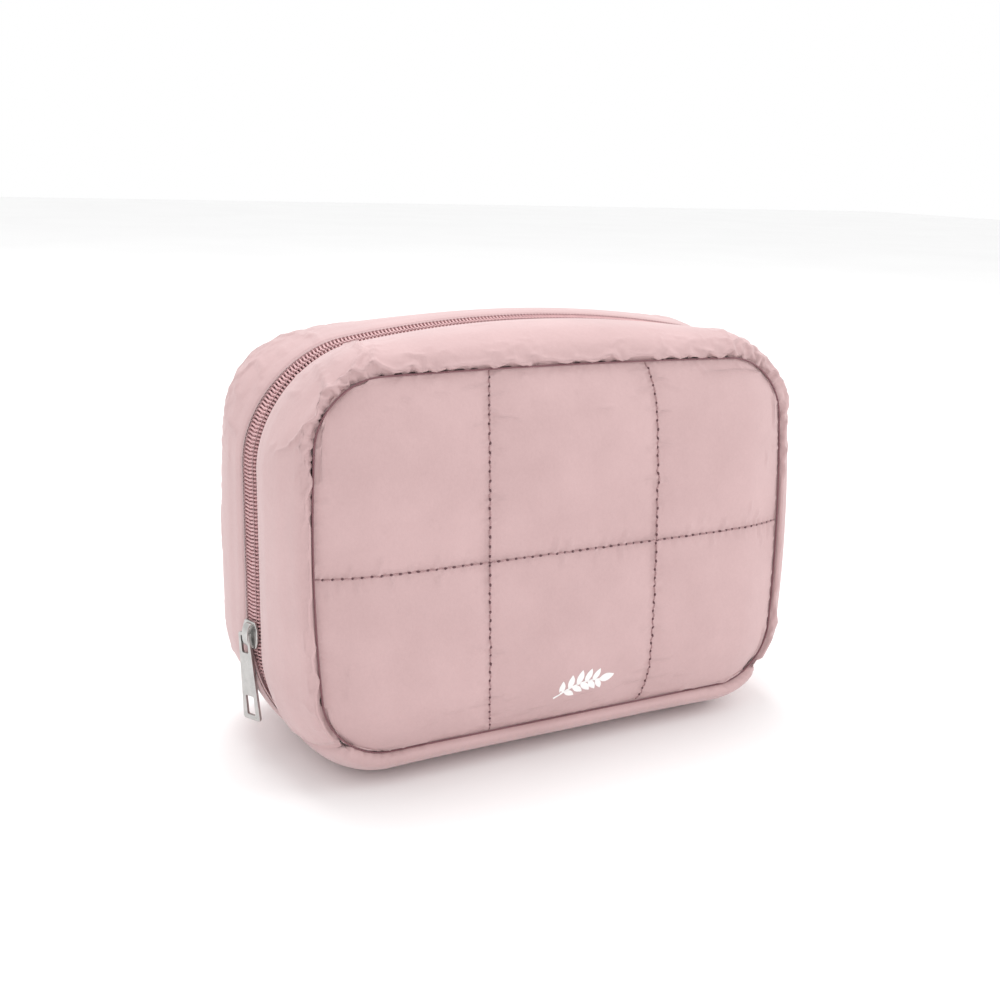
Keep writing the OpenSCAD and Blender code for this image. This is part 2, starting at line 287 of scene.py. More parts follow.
def wall_points(side, zips, seams, edge, curve):
    """Grid [station, across] of a wall surface, drawn on the front side, so y is negative."""
    f, k, n = curve[None, :, 0], curve[None, :, 1], curve[None, :, 2]
    if side:
        turn = FOLD_Y * math.tan(ZIP_TURN)
        turn = (turn if side == "rear" else -turn) * turn_weight(zips)[:, None]
        full = {"rear": REAR_FULL, "front": -FRONT_SLACK}[side] * full_weight(zips)[:, None]
        n = n + (1 - k ** 6) * mix(turn, full, smooth_step(f / 0.8))
    down = -seams[:, 3:4]
    tuck = mix(1, 0.6, smooth_step(down / 0.7)) + 0.2 * smooth_step((down - 0.707) / 0.293)
    n = mix(n, np.where(n > 0, n * tuck, n), smooth_step(f / 0.3))
    edge = np.broadcast_to(np.asarray(edge, float), len(zips))[:, None]
    zx, zz, sx, sz = zips[:, 0:1], zips[:, 1:2], seams[:, 0:1], seams[:, 1:2]
    x = mix(zx, sx, k) + n * seams[:, 2:3]
    z = mix(zz, sz, k) + n * seams[:, 3:4]
    y = mix(edge, half_depth(sz), f)
    return np.stack([x, -y, np.maximum(z, 0)], 2)


def wall_surface(side, zips, seams, edge, share):
    """A grid between a wall's outside, at share 0, and its inside, at share 1."""
    return mix(wall_points(side, zips, seams, edge, OUTSIDE_CURVE),
               wall_points(side, zips, seams, edge, INSIDE_CURVE), share)


# ------------ cloth

# Stiffness of the springs along both ways of the grid, across its squares, and against bending
STIFFNESS = {"u": 0.9, "v": 0.9, "d": 0.35, "e": 0.35}
BEND = 0.05


def normals(p):
    """Unit normals of a grid of points."""
    du = np.zeros_like(p)
    dv = np.zeros_like(p)
    du[:, 1:-1] = p[:, 2:] - p[:, :-2]
    du[:, 0] = p[:, 1] - p[:, 0]
    du[:, -1] = p[:, -1] - p[:, -2]
    dv[1:-1] = p[2:] - p[:-2]
    dv[0] = p[1] - p[0]
    dv[-1] = p[-1] - p[-2]
    n = np.cross(dv, du)
    return n / (np.linalg.norm(n, axis=2, keepdims=True) + 1e-9)


def gap(a, b):
    """Distances between the points of two grids."""
    return np.sqrt(((b - a) ** 2).sum(2))


def pull(p, w, a, b, rest, stiffness, push_only=False):
    """Moves the points at two views of p towards their rest distance."""
    pa, pb = p[a], p[b]
    d = pb - pa
    length = np.sqrt((d ** 2).sum(2)) + 1e-9
    wa, wb = w[a], w[b]
    error = (length - rest) / length
    if push_only:
        error = np.minimum(error, 0)
    share = stiffness * error / (wa + wb + 1e-9)
    p[a] = pa + d * (share * wa)[..., None]
    p[b] = pb - d * (share * wb)[..., None]


def pairs(rows, cols):
    """Neighbour pairs of a grid in sets whose points don't overlap: (kind, step, first, second)."""
    s = slice
    out = []
    for step in (1, 2):
        for k in range(2 * step):
            i = np.arange(0, cols - step)
            i = i[(i // step) % 2 == (k // step)]
            i = i[i % step == k % step]
            out.append(("u", step, (s(None), i), (s(None), i + step)))
            j = np.arange(0, rows - step)
            j = j[(j // step) % 2 == (k // step)]
            j = j[j % step == k % step]
            out.append(("v", step, (j, s(None)), (j + step, s(None))))
    for k in range(2):
        j = np.arange(k, rows - 1, 2)
        out.append(("d", 1, (j, s(0, -1)), (j + 1, s(1, None))))
        out.append(("e", 1, (j, s(1, None)), (j + 1, s(0, -1))))
    return out


def drape(base, grow_u, grow_v, pinned, pressure, out_cap, in_cap, steps, seed, floor=None):
    """Drapes a grid of cloth that is grow_u times as long across and grow_v times along as its
    base. Points stay within out_cap and in_cap of the base, along its normal, and above floor."""
    rows, cols = base.shape[:2]
    rng = np.random.default_rng(seed)
    normal = normals(base)
    rough = rng.standard_normal((rows, cols))
    for _ in range(2):
        rough = (rough + np.roll(rough, 1, 0) + np.roll(rough, -1, 0)
                 + np.roll(rough, 1, 1) + np.roll(rough, -1, 1)) / 3
    free = 1.0 - pinned
    p = base + normal * (0.16 * rough * free)[..., None]
    rest_u = gap(base[:, :-1], base[:, 1:]) * (grow_u[:, :-1] + grow_u[:, 1:]) / 2
    rest_v = gap(base[:-1], base[1:]) * (grow_v[:-1] + grow_v[1:]) / 2
    both = (grow_u + grow_v) / 2
    rest = {
        ("u", 1): rest_u, ("v", 1): rest_v,
        ("u", 2): rest_u[:, :-1] + rest_u[:, 1:], ("v", 2): rest_v[:-1] + rest_v[1:],
        ("d", 1): gap(base[:-1, :-1], base[1:, 1:]) * both[:-1, :-1],
        ("e", 1): gap(base[:-1, 1:], base[1:, :-1]) * both[:-1, :-1],
    }
    jobs = []
    for kind, step, a, b in pairs(rows, cols):
        r = rest[(kind, step)]
        if kind == "u":
            r = r[:, a[1]]
        else:
            r = r[a[0]]
        stiffness = STIFFNESS[kind] if step == 1 else BEND
        jobs.append((a, b, r, stiffness, step == 2))
    before = p.copy()
    for step in range(steps):
        velocity = (p - before) * 0.93
        before = p.copy()
        if step % 4 == 0:
            push = normals(p) * pressure
        p = p + (velocity + push) * free[..., None]
        for a, b, r, stiffness, push_only in jobs:
            pull(p, free, a, b, r, stiffness, push_only)
        off = ((p - base) * normal).sum(2)
        over = off - np.clip(off, -in_cap, out_cap)
        p -= normal * (over * free)[..., None]
        if floor is not None:
            p[..., 2] = np.maximum(p[..., 2], floor)
    return p


# ------------ meshes

def make_object(name, points, faces, uv=None, material=None):
    """A smooth mesh object from points in millimetres."""
    mesh = bpy.data.meshes.new(name)
    mesh.from_pydata((np.asarray(points) * MM).tolist(), [], faces)
    mesh.validate()
    if uv is not None:
        layer = mesh.uv_layers.new(name="UVMap")
        index = np.zeros(len(mesh.loops), np.int64)
        mesh.loops.foreach_get("vertex_index", index)
        layer.data.foreach_set("uv", np.asarray(uv, np.float32)[index].ravel())
    mesh.polygons.foreach_set("use_smooth", [True] * len(mesh.polygons))
    mesh.update()
    obj = bpy.data.objects.new(name, mesh)
    show(obj)
    if material:
        mesh.materials.append(material)
    return obj


def grid_faces(rows, cols, start=0, flip=False, wrap=False):
    i, j = np.meshgrid(np.arange(rows if wrap else rows - 1), np.arange(cols - 1), indexing="ij")
    a = start + i * cols + j
    b = start + ((i + 1) % rows) * cols + j
    quads = np.stack([a, a + 1, b + 1, b], -1).reshape(-1, 4)
    return (quads[:, ::-1] if flip else quads).tolist()


def lengths(p):
    """UVs in millimetres along and across a grid."""
    u = np.concatenate([np.zeros((len(p), 1)), np.cumsum(gap(p[:, :-1], p[:, 1:]), 1)], 1)
    v = np.concatenate([np.zeros((1, p.shape[1])), np.cumsum(gap(p[:-1], p[1:]), 0)], 0)
    return np.stack([u - u[:, -1:] / 2, v], 2)


def closed_sheet(name, outer, inner, material):
    """A closed form between two grids of points of the same shape."""
    rows, cols = outer.shape[:2]
    n = rows * cols
    flip = ((outer - inner) * normals(outer)).sum() < 0
    faces = grid_faces(rows, cols, 0, not flip) + grid_faces(rows, cols, n, flip)
    rim = np.concatenate([
        np.arange(cols), cols - 1 + cols * np.arange(1, rows),
        (rows - 1) * cols + np.arange(cols - 2, -1, -1), cols * np.arange(rows - 2, 0, -1)])
    nxt = np.roll(rim, -1)
    band = np.stack([rim, nxt, nxt + n, rim + n], 1)
    faces += (band if flip else band[:, ::-1]).tolist()
    points = np.concatenate([outer.reshape(-1, 3), inner.reshape(-1, 3)])
    uv = lengths(outer).reshape(-1, 2)
    return make_object(name, points, faces, np.concatenate([uv, uv]), material)


def ring_faces(rings, sides, closed):
    """Faces between rings of points, joined in a row, or in a circle if closed."""
    i, j = np.meshgrid(np.arange(rings if closed else rings - 1), np.arange(sides), indexing="ij")
    k, m = (j + 1) % sides, (i + 1) % rings
    faces = np.stack([i * sides + j, i * sides + k, m * sides + k, m * sides + j], -1)
    return faces.reshape(-1, 4)


def tube(path, radius, sides=6, closed=False):
    """Points and faces of a round tube along a path, with flat ends unless it is closed."""
    path = np.asarray(path, float)
    n = len(path)
    if closed:
        tangent = np.roll(path, -1, 0) - np.roll(path, 1, 0)
    else:
        tangent = np.gradient(path, axis=0)
    tangent /= np.linalg.norm(tangent, axis=1, keepdims=True) + 1e-9
    ref = np.array([0.31, 0.17, 0.93])
    side = np.cross(tangent, ref)
    side /= np.linalg.norm(side, axis=1, keepdims=True) + 1e-9
    up = np.cross(tangent, side)
    r = np.broadcast_to(np.asarray(radius, float), n)[:, None, None]
    a = np.linspace(0, 2 * np.pi, sides, endpoint=False)[None, :, None]
    ring = path[:, None] + r * (np.cos(a) * side[:, None] + np.sin(a) * up[:, None])
    points = ring.reshape(-1, 3)
    faces = ring_faces(n, sides, closed).tolist()
    if not closed:
        faces.append(list(range(sides))[::-1])
        faces.append([(n - 1) * sides + j for j in range(sides)])
    return points, faces


def join(parts):
    """One set of points and faces out of several."""
    points, faces, start = [], [], 0
    for p, f in parts:
        points.append(p)
        faces += [[v + start for v in face] for face in f]
        start += len(p)
    return np.concatenate(points), faces


# ------------ materials

def srgb(r, g, b):
    """A colour given as 0 to 255, as linear light."""
    def linear(c):
        c /= 255
        return c / 12.92 if c <= 0.04045 else ((c + 0.055) / 1.055) ** 2.4
    return (linear(r), linear(g), linear(b), 1)


class Shader:
    """A material with its Principled shader and short ways to add nodes."""

    def __init__(self, name, **sockets):
        self.material = bpy.data.materials.new(name)
        self.material.use_nodes = True
        self.tree = self.material.node_tree
        self.shader = self.tree.nodes["Principled BSDF"]
        for key, value in sockets.items():
            self.shader.inputs[key.replace("_", " ")].default_value = value

    def node(self, kind, **settings):
        node = self.tree.nodes.new(kind)
        inputs = settings.pop("inputs", {})
        for key, value in settings.items():
            setattr(node, key, value)
        for key, value in inputs.items():
            if isinstance(value, bpy.types.NodeSocket):
                self.tree.links.new(value, node.inputs[key])
            else:
                node.inputs[key].default_value = value
        return node

    def place(self):
        """Places on the object itself."""
        return self.node("ShaderNodeTexCoord").outputs["Object"]

    def drive(self, socket, value):
        """Leads a value into a socket of the Principled shader."""
        self.tree.links.new(value, self.shader.inputs[socket])

    def spread(self, value, low, high):
        """A value between 0.3 and 0.7, spread out between low and high."""
        return self.node("ShaderNodeMapRange", inputs={
            "Value": value, "From Min": 0.3, "From Max": 0.7, "To Min": low, "To Max": high,
        }).outputs[0]

    def noise(self, coords, scale, detail=3, rough=0.5):
        return self.node("ShaderNodeTexNoise", inputs={
            "Vector": coords, "Scale": scale, "Detail": detail, "Roughness": rough}).outputs["Fac"]

    def waves(self, coords, scale, direction, distortion=0.0):
        return self.node("ShaderNodeTexWave", bands_direction=direction, inputs={
            "Vector": coords, "Scale": scale, "Distortion": distortion, "Detail": 1.0,
            "Detail Scale": 1.0}).outputs["Fac"]

    def math(self, operation, a, b):
        return self.node("ShaderNodeMath", operation=operation, inputs={0: a, 1: b}).outputs[0]

    def ramp(self, fac, stops):
        node = self.node("ShaderNodeValToRGB", inputs={"Fac": fac})
        ramp = node.color_ramp
        while len(ramp.elements) < len(stops):
            ramp.elements.new(0.5)
        for element, (at, color) in zip(ramp.elements, stops):
            element.position = at
            element.color = color
        return node.outputs["Color"]

    def bump(self, height, distance, strength=1.0, normal=None):
        inputs = {"Height": height, "Distance": distance * MM, "Strength": strength}
        if normal is not None:
            inputs["Normal"] = normal
        return self.node("ShaderNodeBump", inputs=inputs).outputs["Normal"]


def cloth_material(name, dark, light, roughness, weave, crinkle, sheen, weave_bump=0.02):
    """Fine woven cloth: colour that drifts softly, a weave on UVs in mm, and small crinkles."""
    s = Shader(name, Roughness=roughness, Sheen_Weight=sheen, Sheen_Roughness=0.45)
    s.shader.inputs["Specular IOR Level"].default_value = 0.32
    place = s.place()
    uv = s.node("ShaderNodeTexCoord").outputs["UV"]
    drift = s.noise(place, 38, 4, 0.55)
    speck = s.noise(place, 900, 2, 0.6)
    tone = s.math("ADD", s.math("MULTIPLY", drift, 0.75), s.math("MULTIPLY", speck, 0.25))
    s.drive("Base Color", s.ramp(tone, [(0.32, dark), (0.68, light)]))
    warp = s.waves(uv, weave, "X", 0.4)
    weft = s.waves(uv, weave, "Y", 0.4)
    weave_height = s.math("MAXIMUM", warp, weft)
    folds = s.noise(place, 170, 5, 0.6)
    normal = s.bump(folds, crinkle)
    s.drive("Normal", s.bump(weave_height, weave_bump, 1.0, normal))
    s.drive("Roughness", s.spread(drift, roughness - 0.05, roughness + 0.06))
    return s.material


def thread_material(name, dark, light):
    """Twisted thread: slanting strands that also set its tone."""
    s = Shader(name, Roughness=0.6, Sheen_Weight=0.25)
    place = s.place()
    twist = s.waves(place, 900, "DIAGONAL", 1.0)
    drift = s.noise(place, 220, 3)
    tone = s.math("ADD", s.math("MULTIPLY", twist, 0.5), s.math("MULTIPLY", drift, 0.5))
    s.drive("Base Color", s.ramp(tone, [(0.25, dark), (0.75, light)]))
    s.drive("Normal", s.bump(twist, 0.05))
    return s.material


def plastic_material(name, dark, light, roughness):
    """Moulded nylon: colour that drifts softly and a very fine grain."""
    s = Shader(name, Roughness=roughness)
    place = s.place()
    drift = s.noise(place, 260, 3)
    s.drive("Base Color", s.ramp(drift, [(0.3, dark), (0.7, light)]))
    s.drive("Normal", s.bump(s.noise(place, 1500, 2), 0.01))
    return s.material


def metal_material(name):
    """Satin plated zinc: fine scratches, slight wear that brightens the edges."""
    s = Shader(name, Metallic=1.0, Roughness=0.3)
    place = s.place()
    long_way = s.node("ShaderNodeMapping", inputs={
        "Vector": place, "Scale": (1.0, 1.0, 0.08)}).outputs[0]
    brushed = s.noise(long_way, 4200, 3, 0.6)
    stains = s.noise(place, 320, 3)
    edge = s.node("ShaderNodeNewGeometry").outputs["Pointiness"]
    wear = s.node("ShaderNodeMapRange", inputs={
        "Value": edge, "From Min": 0.5, "From Max": 0.56, "To Min": 0, "To Max": 0.35}).outputs[0]
    tone = s.math("ADD", s.math("MULTIPLY", stains, 0.6), wear)
    s.drive("Base Color", s.ramp(tone, [(0.1, srgb(168, 167, 165)), (0.75, srgb(206, 205, 203))]))
    s.drive("Roughness", s.spread(brushed, 0.24, 0.4))
    s.drive("Normal", s.bump(brushed, 0.006))
    return s.material


NYLON = cloth_material(
    "nylon_cover", srgb(195, 163, 163), srgb(205, 173, 173),
    roughness=0.62, weave=0.55, crinkle=0.32, sheen=0.28)
LINING = cloth_material(
    "lining_cloth", srgb(186, 154, 157), srgb(195, 163, 165),
    roughness=0.5, weave=0.7, crinkle=0.3, sheen=0.2)
TAPE = cloth_material(
    "tape_weave", srgb(198, 160, 163), srgb(209, 173, 175),
    roughness=0.7, weave=0.35, crinkle=0.05, sheen=0.2, weave_bump=0.12)
BINDING = cloth_material(
    "binding_weave", srgb(180, 142, 146), srgb(190, 152, 156),
    roughness=0.7, weave=0.3, crinkle=0.05, sheen=0.2, weave_bump=0.1)
THREAD = thread_material("quilting_thread", srgb(160, 122, 124), srgb(184, 147, 148))
# The seam thread's dark colour is partly the thread's own tone and partly painted shade of the
# groove along the seam
SEAM_THREAD_AND_SHADE = thread_material("seam_thread_and_shade", srgb(112, 68, 75), srgb(138, 92, 98))
# Dark tubes laid over the needle holes of the quilting: painted shade of the holes
HOLE_SHADE = thread_material("stitch_hole_shade", srgb(84, 48, 54), srgb(104, 64, 70))
COIL = plastic_material("coil_nylon", srgb(204, 160, 162), srgb(220, 178, 179), 0.4)
METAL = metal_material("satin_silver")
PRINT = cloth_material(
    "white_print", srgb(244, 242, 241), srgb(250, 249, 248),
    roughness=0.6, weave=0.55, crinkle=0.02, sheen=0.0)


# ------------ panels

def cell_share(n, lines):
    """Rises by 1 across each cell, between the stitching lines at these grid indices."""
    stops = [0, *lines, n]
    i = np.arange(n + 1)
    return np.interp(i, stops, np.arange(len(stops)))


def panel_outline():
    """The four sides of the panel, each from its low end: bottom, top, left, right."""
    n_v = 2 * N_HALF + N_SIDE
    n_u = 2 * N_HALF + N_TOP
    loop = SEAM_SIDE[:, :2]
    left = loop[:n_v + 1]
    top = loop[n_v:n_v + n_u + 1]
    right = loop[n_v + n_u:][::-1]
    bottom = SEAM_BASE_PATH[::-1, :2]
    return bottom, top, left, right


def panel_flat():
    """x and z of the panel's grid [row up, column across]."""
    bottom, top, left, right = panel_outline()
    v = np.linspace(0, 1, len(left))[:, None, None]
    u = np.linspace(0, 1, len(top))[None, :, None]
    edges = (1 - v) * bottom[None] + v * top[None] + (1 - u) * left[:, None] + u * right[:, None]
    corners = ((1 - v) * ((1 - u) * bottom[0] + u * bottom[-1])
               + v * ((1 - u) * top[0] + u * top[-1]))
    return edges - corners


PANEL_FLAT = panel_flat()
PANEL_U = np.linspace(-1, 1, PANEL_FLAT.shape[1])[None, :]
PANEL_V = np.linspace(-1, 1, PANEL_FLAT.shape[0])[:, None]


def panel_surface(puff, sink):
    """The front panel's grid: puff is the height of each cell, sink moves it inwards."""
    across = cell_share(PANEL_FLAT.shape[1] - 1, COLUMNS)[None, :]
    up = cell_share(PANEL_FLAT.shape[0] - 1, (ROW,))[:, None]
    cells = np.abs(np.sin(np.pi * across) * np.sin(np.pi * up)) ** 0.55
    dome = CROWN * (1 - PANEL_U ** 4) * (1 - PANEL_V ** 4)
    x, z = PANEL_FLAT[..., 0], PANEL_FLAT[..., 1]
    y = half_depth(z) + dome + puff * cells - sink
    return np.stack([x, -y, z], 2)


def near(index, lines, width):
    """1 on the nearest of these grid lines, fading away over a width in grid steps."""
    d = np.min([np.abs(index - k) for k in lines], axis=0)
    return np.exp(-(d / width) ** 2)


def pinned_rim(rows, cols):
    """1 round the rim of a grid, where the cloth is held, and 0 inside."""
    pinned = np.zeros((rows, cols))
    pinned[0] = pinned[-1] = 1
    pinned[:, 0] = pinned[:, -1] = 1
    return pinned


def draped_panel(seed):
    """A quilted panel's cloth, sewn down along its rim and its quilting lines."""
    base = panel_surface(CELL_PUFF, 0)
    rows, cols = base.shape[:2]
    i, j = np.indices((rows, cols))
    on_column = near(j, COLUMNS, 4)
    on_row = near(i, (ROW,), 4)
    rim = np.maximum(near(j, (0, cols - 1), 6), near(i, (0, rows - 1), 6))
    grow_u = 1.006 + 0.06 * on_row + 0.04 * near(i, (0, rows - 1), 5)
    grow_v = 1.006 + 0.06 * on_column + 0.04 * near(j, (0, cols - 1), 5)
    pinned = pinned_rim(rows, cols)
    pinned[::3, list(COLUMNS)] = 1
    pinned[ROW, ::3] = 1
    cap_out = 1.6 - 1.0 * rim
    cap_in = 1.2 - 0.7 * rim
    return drape(base, grow_u, grow_v, pinned, 0.012, cap_out, cap_in, 420, seed)


# ------------ gusset

def opening_spread(z):
    """How far the front fold beside the zip stands away, below the slider on the left side."""
    return 10 * smooth_step((46 - z) / 34)


def front_edge():
    """How far the front wall starts from the zip's middle, at each station."""
    return FOLD_Y + np.where(ZIP_SIDE[:, 0] < 0, opening_spread(ZIP_SIDE[:, 1]), 0)


def rear_edge():
    """The same for the rear wall, which reaches over to the front below the slider."""
    z = ZIP_SIDE[:, 1]
    width = mix(3.6, 0.7, smooth_step((26 - z) / 9))
    reach = -(FOLD_Y + opening_spread(z)) + width
    edge = mix(FOLD_Y, reach, smooth_step((47 - z) / 7))
    return np.where(ZIP_SIDE[:, 0] < 0, edge, FOLD_Y)


def seam_pins(n, loose, rng):
    """Which points of a seam are held: every one, but only some where the seam is loose."""
    pins = np.ones(n)
    at = 0
    while at < n:
        step = 1 + int(rng.random() < loose[at]) * rng.integers(1, 4)
        pins[at + 1:at + step] = 0
        at += step
    return pins


# Rows of the gusset's grid at the middle of the two top corners
TOP_LEFT = 2 * N_HALF + N_SIDE
TOP_RIGHT = TOP_LEFT + N_TOP + 2 * N_HALF


def mitre_dip(n):
    """Draws the wall's ends in where they are sewn to the next piece."""
    i = np.arange(n)
    d = np.minimum(i, n - 1 - i)
    return 1.5 * np.exp(-(d / 2.2) ** 2)


def draped_gusset(side, edge, seed):
    """A gusset's cloth, gathered at the seam round its top corners."""
    base = wall_surface(side, ZIP_SIDE, SEAM_SIDE, edge, 0)
    rows, cols = base.shape[:2]
    base = base - normals_out(base) * mitre_dip(rows)[:, None, None]
    to_seam = np.linspace(46, 0, cols)[None, :]
    corners = near(np.arange(rows), (TOP_LEFT, TOP_RIGHT), 25)
    low = near(np.arange(rows), (8, rows - 9), 20)
    top = near(np.arange(rows), ((TOP_LEFT + TOP_RIGHT) / 2,), 60)
    gather = (0.005 + 0.2 * corners + 0.05 * low + 0.03 * top)[:, None]
    grow_v = 1.006 + 0.007 * (corners + top)[:, None] + gather * np.exp(-(to_seam / 8) ** 2)
    grow_u = 1.003 - 0.012 * corners[:, None] * np.exp(-(to_seam / 14) ** 2)
    pinned = np.zeros((rows, cols))
    pinned[0] = pinned[-1] = 1
    pinned[:, :2] = 1
    loose = np.minimum(1, 1.4 * corners + 0.3 * low + 0.2 * top)
    pinned[:, -1] = seam_pins(rows, loose, np.random.default_rng(seed))
    edge_soft = smooth_step(np.arange(cols)[None, :] / 9) * mix(0.6, 1, smooth_step(to_seam / 3))
    gathered = (corners + 0.5 * low + 0.35 * top)[:, None] * np.exp(-(to_seam / 14) ** 2)
    quiet = 0.4 * np.exp(-(to_seam / 12) ** 2)
    cap_out = (0.8 - quiet + 1.6 * gathered) * edge_soft
    cap_in = (0.7 - quiet + 1.3 * gathered) * edge_soft
    return drape(base, grow_u, grow_v, pinned, 0.006, cap_out, cap_in, 420, seed, 0.05)


def normals_out(grid):
    """Normals of a wall grid, turned to point out of the bag."""
    n = normals(grid)
    middle = np.array([0, 0, 80])
    return n * np.sign(((grid - middle) * n).sum())


def base_surface(share):
    """The bottom's grid from the front seam to the rear seam, one station per row."""
    front = wall_surface(None, ZIP_BASE, SEAM_BASE_PATH, 0, share)
    rear = front.copy()
    rear[..., 1] *= -1
    return np.concatenate([front[:, ::-1], rear[:, 1:]], 1)


def draped_base(seed):
    """The bottom's cloth, kept just above the surface that the bag stands on."""
    base = base_surface(0)
    rows, cols = base.shape[:2]
    base = base - normals_out(base) * mitre_dip(rows)[:, None, None]
    base[..., 2] = np.maximum(base[..., 2], 0.05)
    d = np.abs(np.linspace(-1, 1, cols))[None, :]
    to_seam = (1 - d) * 46
    ends = near(np.arange(rows), (8, rows - 9), 20)[:, None]
    grow_v = 1.006 + (0.012 + 0.05 * ends) * np.exp(-(to_seam / 11) ** 2)
    grow_u = np.full((rows, cols), 1.01)
    pinned = pinned_rim(rows, cols)
    soft = mix(0.3, 1, smooth_step(to_seam / 5)) * (1 + ends)
    return drape(base, grow_u, grow_v, pinned, 0.01, 0.7 * soft, 0.6 * soft, 300, seed, 0.05)


# ------------ sewing

def sample_grid(grid, i, j):
    """Points of a grid at fractional row i and column j."""
    i = np.clip(i, 0, grid.shape[0] - 1.001)
    j = np.clip(j, 0, grid.shape[1] - 1.001)
    a, b = i.astype(int), j.astype(int)
    s, t = (i - a)[:, None], (j - b)[:, None]
    return ((1 - s) * (1 - t) * grid[a, b] + s * (1 - t) * grid[a + 1, b]
            + (1 - s) * t * grid[a, b + 1] + s * t * grid[a + 1, b + 1])


def along(points, pitch):
    """Fractional indices of places a pitch apart along a polyline."""
    d = path_lengths(points)
    n = max(1, int(round(d[-1] / pitch)))
    return np.interp(np.linspace(0, d[-1], n + 1), d, np.arange(len(points)))


# Length of a stitch, share of it between two threads, the thread's radius, and how far its
# middle stands above the cloth and its ends go below it
STITCH_PITCH = 3.8
HOLE_SHARE = 0.24
THREAD_R = 0.32
THREAD_LIFT = 0.14
THREAD_SINK = 0.32


def stitch_row(grid, normal, line_i, line_j):
    """Threads of one row of stitches along a line of a cloth grid, and dark marks at the needle
    holes between them, which are painted shade.
    """
    order = np.arange(len(line_i))

    def on_cloth(t):
        i, j = np.interp(t, order, line_i), np.interp(t, order, line_j)
        return sample_grid(grid, i, j), sample_grid(normal, i, j)

    marks = along(sample_grid(grid, line_i, line_j), STITCH_PITCH)
    threads, hole_shades = [], []
    for a, b in zip(marks[:-1], marks[1:]):
        t = np.linspace(mix(a, b, HOLE_SHARE / 2), mix(a, b, 1 - HOLE_SHARE / 2), 9)
        at, n = on_cloth(t)
        bow = np.sin(np.linspace(0, np.pi, 9)) ** 0.5
        height = THREAD_LIFT * bow - THREAD_SINK * (1 - bow)
        threads.append(tube(at + n * height[:, None], THREAD_R, 6))
    for a in marks[1:-1]:
        at, n = on_cloth(np.linspace(a - 0.5, a + 0.5, 5))
        # A dark tube over each needle hole: painted shade of the hole
        hole_shades.append(tube(at + n * 0.02, [0.12, 0.4, 0.5, 0.4, 0.12], 8))
    return threads, hole_shades


# ------------ pieces

def finish_piece(obj, body, slot, *nodes):
    """Hides the nodes that a piece replaces and attaches it to the body it rides; the slot is not
    used.
    """
    if nodes:
        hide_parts(*nodes)
    if body:
        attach(obj, body)


# Which way each half lies from the zip, along Y
WAY = {"front": -1, "rear": 1}
SEAM_RING = np.concatenate([SEAM_SIDE, SEAM_BASE_PATH[1:-1]])


def mirrored(grid, side):
    """A grid drawn on the front side, on this side of the bag."""
    return grid * np.array([1, -WAY[side], 1])


def make_wall(side, part, grids):
    """A padded wall: cloth with padding, and lining. The grids go from the outside inwards."""
    name = side + "_" + part
    cloth, inner, lining_out, lining_in = [mirrored(grid, side) for grid in grids]
    pad = closed_sheet(name + "_pad", cloth, inner, NYLON)
    finish_piece(pad, side + "_shell", "nylon_cover", name + "_cover", name + "_wadding")
    lining = closed_sheet(name + "_inside", lining_out, lining_in, LINING)
    finish_piece(lining, side + "_shell", "lining", name + "_lining")


def make_panel(side, cloth):
    make_wall(side, "panel", [
        cloth, panel_surface(0, PAD_T * PAD_SHARE), panel_surface(0, PAD_T * LINING_SHARE),
        panel_surface(-0.5, PAD_T)])
    make_quilting(side, cloth)


def make_quilting(side, cloth):
    """The stitches of a panel's quilting lines and, between them, dark marks that are painted shade
    of the needle holes.
    """
    grid = mirrored(cloth, side)
    normal = normals(grid)
    normal *= np.sign((normal[..., 1] * grid[..., 1]).sum())
    rows, cols = grid.shape[:2]
    up, across = np.arange(0.0, rows), np.arange(0.0, cols)
    lines = [(up, np.full(rows, float(column))) for column in COLUMNS]
    lines.append((np.full(cols, float(ROW)), across))
    threads, hole_shades = [], []
    for line in lines:
        row_threads, row_hole_shades = stitch_row(grid, normal, *line)
        threads += row_threads
        hole_shades += row_hole_shades
    obj = make_object(side + "_quilt_threads", *join(threads), material=THREAD)
    finish_piece(obj, side + "_shell", "quilting_thread", side + "_quilt_stitching")
    # The dark marks at the needle holes are painted shade
    obj = make_object(side + "_quilt_hole_shade", *join(hole_shades), material=HOLE_SHADE)
    finish_piece(obj, side + "_shell", "quilting_thread")


def make_gusset(side, cloth, edge):
    inner = [
        wall_surface(side, ZIP_SIDE, SEAM_SIDE, edge, share)
        for share in (PAD_SHARE, LINING_SHARE, 1)]
    make_wall(side, "gusset", [cloth, *inner])


def make_base(cloth):
    pad = closed_sheet("bottom_pad", cloth, base_surface(PAD_SHARE), NYLON)
    finish_piece(
        pad, None, "nylon_cover", "front_bottom_cover", "front_bottom_wadding",
        "rear_bottom_cover", "rear_bottom_wadding")
    lining = closed_sheet("bottom_inside", base_surface(LINING_SHARE), base_surface(1), LINING)
    finish_piece(lining, None, "lining", "front_bottom_lining", "rear_bottom_lining")
    for piece in (pad, lining):
        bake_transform(piece)


def make_seam_line_and_shade(side):
    """The dark sewn line between a panel and the gusset round it: a thread whose dark colour is
    partly its own tone and partly painted shade of the groove along the seam.
    """
    x, z, nx, nz = SEAM_RING.T
    path = np.stack([x - 0.1 * nx, WAY[side] * (half_depth(z) + 0.9), z - 0.1 * nz], 1)
    # A dark cord in the seam's groove: thread, darkened with painted shade of the groove
    obj = make_object(side + "_seam_line_and_shade", *tube(path, 0.38, 6, True), material=SEAM_THREAD_AND_SHADE)
    finish_piece(obj, side + "_shell", "quilting_thread")


